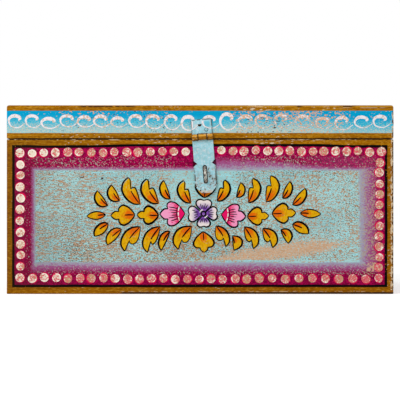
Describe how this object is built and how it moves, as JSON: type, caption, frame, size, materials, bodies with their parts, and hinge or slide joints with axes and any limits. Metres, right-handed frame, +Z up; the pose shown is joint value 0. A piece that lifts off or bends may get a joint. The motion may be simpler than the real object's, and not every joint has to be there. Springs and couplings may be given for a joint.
{
  "type": "painted wooden trunk",
  "caption": "Small painted wooden box with a hinged lid, a sheet-iron hasp and a wire staple for a padlock, with a worn floral folk pattern.",
  "frame": {"origin": "middle of the underside", "axes": "+X to the right along the width, +Y to the back, +Z up"},
  "size_m": [0.34, 0.2428, 0.166],
  "materials": {
    "box_paint": "chalky house paint on wood, worn",
    "lid_paint": "chalky house paint on wood, worn",
    "base_wood": "bare aged wood",
    "hasp_paint": "brushed-on paint over sheet iron, chipped",
    "hinge_iron": "brushed-on paint over sheet iron, chipped",
    "steel": "dull iron wire"
  },
  "bodies": {
    "box": {"base_panel": "base_wood", "front_board": "box_paint", "back_board": "box_paint", "left_board": "box_paint", "right_board": "box_paint", "corner_brads": "steel", "base_brads": "steel", "staple": "steel", "left_hinge_box_leaf": "hinge_iron", "right_hinge_box_leaf": "hinge_iron", "left_hinge_pin": "steel", "right_hinge_pin": "steel", "box_hinge_nails": "steel"},
    "lid": {"lid_top_panel": "lid_paint", "lid_front_rail": "lid_paint", "lid_back_rail": "lid_paint", "lid_left_rail": "lid_paint", "lid_right_rail": "lid_paint", "lid_corner_brads": "steel", "top_brads": "steel", "left_hinge_lid_leaf": "hinge_iron", "right_hinge_lid_leaf": "hinge_iron", "lid_hinge_nails": "steel", "hasp_leaf": "hasp_paint", "hasp_pin": "steel", "hasp_nails": "steel"},
    "hasp": {"hasp_strap": "hasp_paint"}
  },
  "joints": [
    {"name": "lid_hinge", "type": "hinge", "parent": "box", "child": "lid", "pos_m": [0, 0.11555, 0.13625], "axis": [-1, 0, 0], "range_deg": [0, 110]},
    {"name": "hasp_hinge", "type": "hinge", "parent": "lid", "child": "hasp", "pos_m": [0.002, -0.11555, 0.1381], "axis": [-0.9969, 0, -0.0785], "range_deg": [0, 170]}
  ]
}
